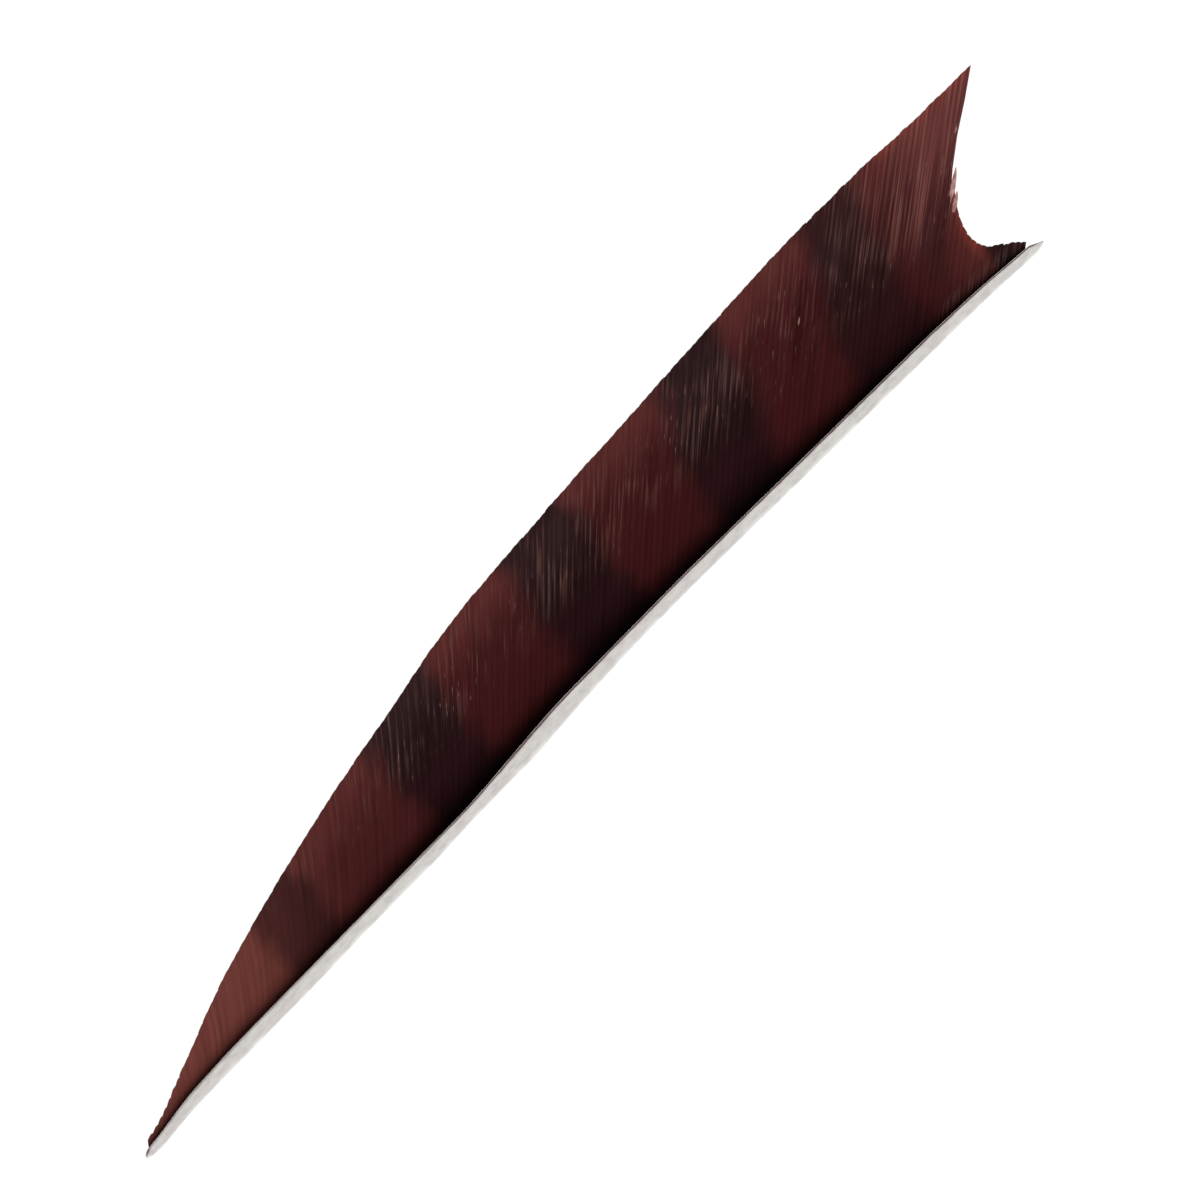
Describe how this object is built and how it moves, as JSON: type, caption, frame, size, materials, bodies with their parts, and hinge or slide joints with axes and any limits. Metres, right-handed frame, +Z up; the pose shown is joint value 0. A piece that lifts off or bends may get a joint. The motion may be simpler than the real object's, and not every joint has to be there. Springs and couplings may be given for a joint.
{
  "type": "arrow fletching feather",
  "caption": "Shield-cut feather vane for an arrow: cambered barbs on a ground quill base that is glued along the shaft.",
  "frame": {"origin": "middle of the ground glue face, half-way along the base, on the flat crest of its bow", "axes": "+X along the base towards the nock end, +Y from the glue face up the vane, +Z up out of the hollow side of the vane; the feather lies on its outer side"},
  "size_m": [0.1075, 0.015, 0.0029],
  "materials": {
    "pith": "soft white foam-like keratin, ground",
    "quill": "off-white horn, sanded",
    "barbs": "dyed mahogany feather with dark natural bars, silky"
  },
  "bodies": {
    "root": {"pith_core": "pith", "dorsal_cortex": "quill", "ventral_cortex": "quill", "barb_wall": "quill", "barbs_01": "barbs", "barbs_02": "barbs", "barbs_03": "barbs", "barbs_04": "barbs", "barbs_05": "barbs", "barbs_06": "barbs", "barbs_07": "barbs", "barbs_08": "barbs", "barbs_09": "barbs", "barbs_10": "barbs", "barbs_11": "barbs", "barbs_12": "barbs", "barbs_13": "barbs", "barbs_14": "barbs", "barbs_15": "barbs", "barbs_16": "barbs", "barbs_17": "barbs", "barbs_18": "barbs", "barbs_19": "barbs", "barbs_20": "barbs", "barbs_21": "barbs", "barbs_22": "barbs", "barbs_23": "barbs", "barbs_24": "barbs", "barbs_25": "barbs", "barbs_26": "barbs"}
  },
  "joints": []
}
